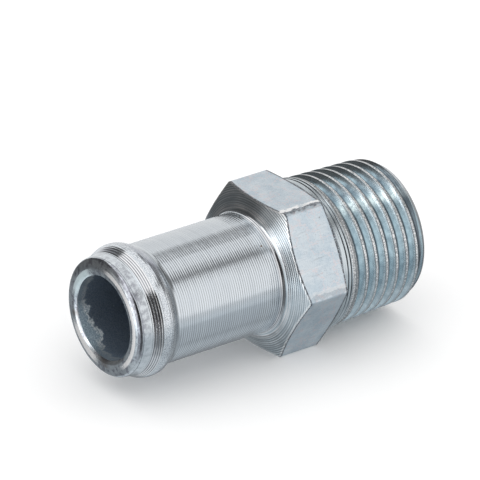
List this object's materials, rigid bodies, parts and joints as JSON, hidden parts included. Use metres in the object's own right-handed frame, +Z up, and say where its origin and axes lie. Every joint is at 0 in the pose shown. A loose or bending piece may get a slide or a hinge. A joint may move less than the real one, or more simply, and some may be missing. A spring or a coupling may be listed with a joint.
{
  "type": "oil pipe connector",
  "caption": "Straight zinc-plated steel hose connector: beaded hose stem, spanner hexagon and external taper pipe thread around one straight oil passage.",
  "frame": {"origin": "on the plane of the hexagon's lower flat, under the axis, halfway between the stem's tip and the thread's end", "axes": "+X along the oil passage from the stem's tip to the thread's end, +Z up, square to the flat that the part lies on, +Y to the left of +X seen from above"},
  "size_m": [0.0484, 0.0252, 0.022],
  "materials": {
    "zinc_plated_steel": "turned steel with pale blue zinc plating, fine turning marks on the stem and the hexagon's faces"
  },
  "bodies": {
    "root": {"connector_body": "zinc_plated_steel"}
  },
  "joints": []
}
